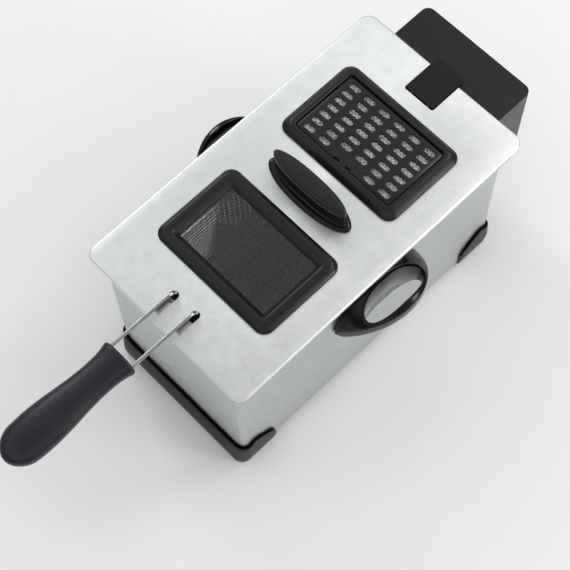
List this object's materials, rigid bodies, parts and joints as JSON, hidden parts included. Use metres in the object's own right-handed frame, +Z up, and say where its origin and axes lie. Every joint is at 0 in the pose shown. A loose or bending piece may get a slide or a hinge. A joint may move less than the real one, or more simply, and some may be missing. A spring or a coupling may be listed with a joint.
{
  "type": "deep fryer",
  "caption": "Household deep fryer: steel housing, lift-out pot, hang-on control unit with heating element, wire basket, and a steel lid with window and filter vent.",
  "frame": {"origin": "on the table, at the middle of the footprint, with the basket grip and the control unit counted in", "axes": "+Z up; +Y along the length, from the basket grip towards the control unit; +X across, towards the right-hand side handle as seen from the grip"},
  "size_m": [0.28, 0.6432, 0.261],
  "materials": {
    "steel": "satin, fine grain",
    "bright_steel": "bright",
    "dark_steel": "plain sheet",
    "black_plastic": "satin, fine texture",
    "gloss_black": "glossy",
    "soft_black": "soft matt",
    "glass": "clear",
    "rubber": "matt",
    "fleece": "felted",
    "charcoal": "felted",
    "brass": "plain",
    "red_plastic": "translucent",
    "green_plastic": "translucent",
    "ceramic": "plain"
  },
  "bodies": {
    "root": {"housing": "steel", "bottom_plate": "dark_steel", "base_front": "black_plastic", "base_rear": "black_plastic", "foot_pads": "rubber", "base_screws": "dark_steel", "side_handle_left": "black_plastic", "side_handle_right": "black_plastic", "handle_screws": "dark_steel", "badge": "bright_steel", "control_rails": "steel"},
    "pot": {"oil_pot": "dark_steel"},
    "control": {"control_housing": "black_plastic", "control_inner_plate": "soft_black", "control_screws": "dark_steel", "control_neck": "gloss_black", "heating_element": "bright_steel", "element_bracket": "steel", "element_clips": "steel", "sensor_tubes": "bright_steel", "thermostat": "dark_steel", "safety_cutout": "soft_black", "safety_switch": "soft_black", "terminal_block": "ceramic", "power_inlet": "soft_black", "inlet_pins": "brass", "power_lamp": "red_plastic", "ready_lamp": "green_plastic", "switch_bezel": "soft_black"},
    "knob": {"thermostat_knob": "black_plastic", "thermostat_shaft": "brass"},
    "rocker": {"power_switch": "black_plastic"},
    "reset": {"reset_button": "red_plastic"},
    "basket": {"basket_mesh": "bright_steel", "basket_rim": "bright_steel", "handle_wires": "bright_steel", "handle_bracket": "bright_steel", "handle_crossbar": "bright_steel", "basket_grip": "soft_black"},
    "lid": {"lid_panel": "steel", "lid_liner": "dark_steel", "window_frame": "black_plastic", "window_glass": "glass", "window_gasket": "rubber", "window_clamp": "black_plastic", "clamp_screws": "dark_steel", "filter_frame": "black_plastic", "mesh_filter": "bright_steel", "grease_filter": "fleece", "carbon_filter": "charcoal", "filter_tray": "soft_black", "lid_handle_base": "black_plastic", "lid_handle_grip": "black_plastic", "lid_handle_screws": "dark_steel"},
    "vent_cover": {"filter_cover": "black_plastic"}
  },
  "joints": [
    {"name": "pot_lift", "type": "slide", "parent": "root", "child": "pot", "axis": [0, 0, 1], "range_m": [0, 0.17]},
    {"name": "control_lift", "type": "slide", "parent": "pot", "child": "control", "axis": [0, 0, 1], "range_m": [0, 0.155]},
    {"name": "basket_lift", "type": "slide", "parent": "control", "child": "basket", "axis": [0, 0, 1], "range_m": [0, 0.14]},
    {"name": "lid_lift", "type": "slide", "parent": "basket", "child": "lid", "axis": [0, 0, 1], "range_m": [0, 0.06]},
    {"name": "vent_cover_hinge", "type": "hinge", "parent": "lid", "child": "vent_cover", "pos_m": [0, 0.18345, 0.23525], "axis": [-1, 0, 0], "range_deg": [0, 85]},
    {"name": "thermostat_turn", "type": "hinge", "parent": "control", "child": "knob", "pos_m": [0, 0.30585, 0.178], "axis": [0, 1, 0], "range_deg": [0, 240]},
    {"name": "power_switch_tilt", "type": "hinge", "parent": "control", "child": "rocker", "pos_m": [0.044, 0.30185, 0.15], "axis": [1, 0, 0], "range_deg": [0, 16]},
    {"name": "reset_press", "type": "slide", "parent": "control", "child": "reset", "axis": [0, -1, 0], "range_m": [0, 0.002], "stiffness_N_per_m": 800, "springref_m": -0.001}
  ]
}
